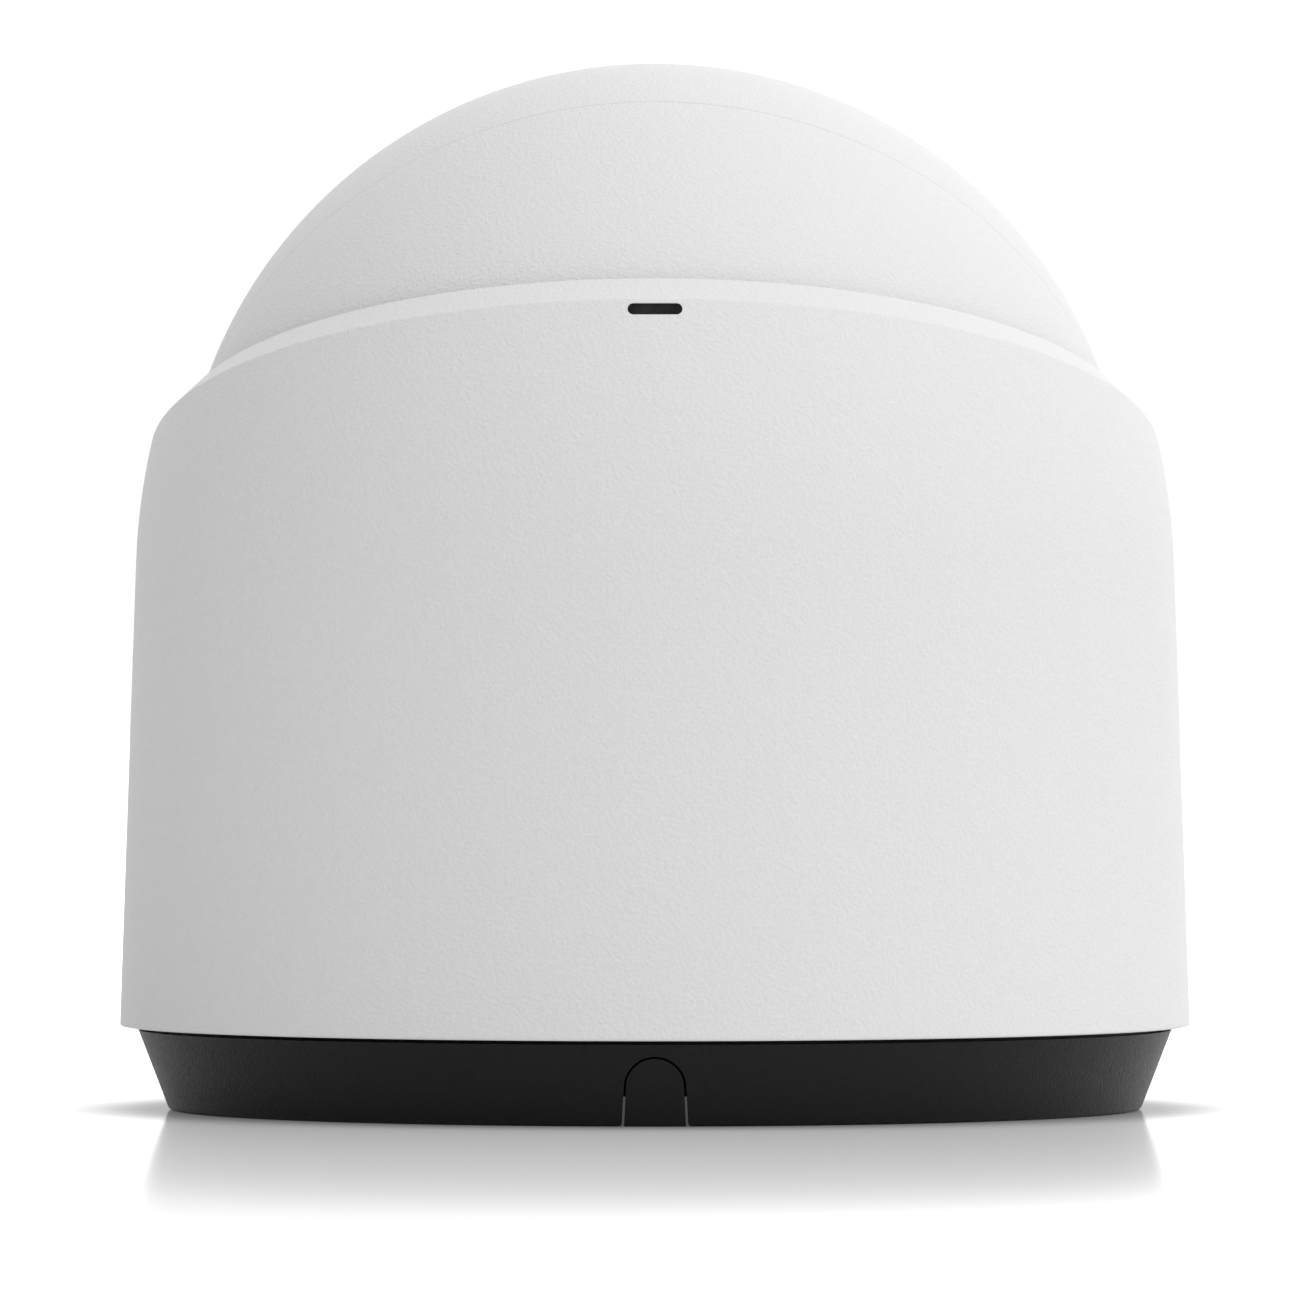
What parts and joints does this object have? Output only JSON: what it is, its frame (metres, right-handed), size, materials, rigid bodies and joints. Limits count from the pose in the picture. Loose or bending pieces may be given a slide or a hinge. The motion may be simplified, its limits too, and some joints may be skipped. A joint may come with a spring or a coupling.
{
  "type": "turret security camera",
  "caption": "Turret security camera: a white ball with a round lens module in a slanted housing that pans on a black mounting base.",
  "frame": {"origin": "centre of the base's mounting face", "axes": "+Z away from the mounting surface, -Y to the front where the lens looks, X across"},
  "size_m": [0.11, 0.11, 0.1075],
  "materials": {
    "white_plastic": "fine spark-eroded texture, satin",
    "black_base": "fine texture, matte",
    "black_plastic": "moulded, matte",
    "dark_foam": "closed cell foam",
    "rubber": "moulded rubber",
    "acetal": "natural acetal, low friction",
    "steel": "pressed steel, zinc plated",
    "screw_steel": "plated",
    "aluminium": "die cast, bead blasted",
    "grey_plastic": "glass filled",
    "board_green": "solder mask",
    "chip_black": "moulded package",
    "window_glass": "smoked, polished",
    "lens_glass": "coated, polished",
    "filter_glass": "thin coated glass",
    "clear_glass": "thin clear glass",
    "lamp_package": "lamp package with a dome",
    "mesh_dark": "fine acoustic mesh",
    "flex_amber": "polyimide strip",
    "button_red": "moulded"
  },
  "bodies": {
    "base": {"mounting_base": "black_base", "base_gasket": "dark_foam", "glide_ring": "acetal", "retaining_ring": "steel", "retaining_screws": "screw_steel"},
    "notch_plug": {"cable_notch_plug": "black_base"},
    "housing": {"housing_shell": "white_plastic", "turntable": "black_plastic", "housing_screws": "screw_steel", "tilt_yoke": "steel", "yoke_screws": "screw_steel", "rim_seal": "rubber", "microphone_mesh": "mesh_dark", "microphone": "aluminium", "microphone_flex": "flex_amber", "pan_lock_screw": "screw_steel"},
    "ball": {"ball_rear_shell": "white_plastic", "ball_front_shell": "white_plastic", "seam_ring": "rubber", "trunnion_pins": "steel", "ball_screws": "screw_steel", "rear_cover": "aluminium", "rear_gasket": "rubber", "rear_cover_screws": "screw_steel", "rear_gland": "rubber", "main_board": "board_green", "board_chips": "chip_black", "thermal_pad": "grey_plastic", "board_standoffs": "steel", "board_screws": "screw_steel", "power_board": "board_green", "power_parts": "chip_black", "card_socket": "steel", "reset_switch": "chip_black"},
    "reset_button": {"reset_button": "button_red"},
    "lens_module": {"lens_drum": "black_plastic", "drum_retainer": "black_plastic", "window_gasket": "rubber", "front_window": "window_glass", "lens_baffle": "dark_foam", "lens_barrel": "black_plastic", "front_lens": "lens_glass", "rear_lens": "lens_glass", "lens_mount": "black_plastic", "infrared_board": "board_green", "infrared_lamps": "lamp_package", "light_sensor": "chip_black", "sensor_board": "board_green", "image_sensor": "chip_black", "filter_frame": "black_plastic"},
    "filter_carriage": {"filter_carriage": "grey_plastic", "infrared_cut_filter": "filter_glass", "clear_filter": "clear_glass"}
  },
  "joints": [
    {"name": "pan", "type": "hinge", "parent": "base", "child": "housing", "pos_m": [0, 0, 0.0084], "axis": [0, 0, 1], "range_deg": [-175, 175]},
    {"name": "tilt", "type": "hinge", "parent": "housing", "child": "ball", "pos_m": [0, 0, 0.0585], "axis": [-1, 0, 0], "range_deg": [-12, 63]},
    {"name": "roll", "type": "hinge", "parent": "ball", "child": "lens_module", "pos_m": [0, 0, 0.0585], "axis": [0, -0.891, 0.454], "range_deg": [-175, 175]},
    {"name": "filter_slide", "type": "slide", "parent": "lens_module", "child": "filter_carriage", "axis": [-1, 0, 0], "range_m": [0, 0.008]},
    {"name": "reset_press", "type": "slide", "parent": "ball", "child": "reset_button", "axis": [0, -0.891, 0.454], "range_m": [0, 0.0005], "stiffness_N_per_m": 800, "springref_m": -0.0005},
    {"name": "notch_plug_pull", "type": "slide", "parent": "base", "child": "notch_plug", "axis": [0, 1, 0], "range_m": [0, 0.01]}
  ]
}
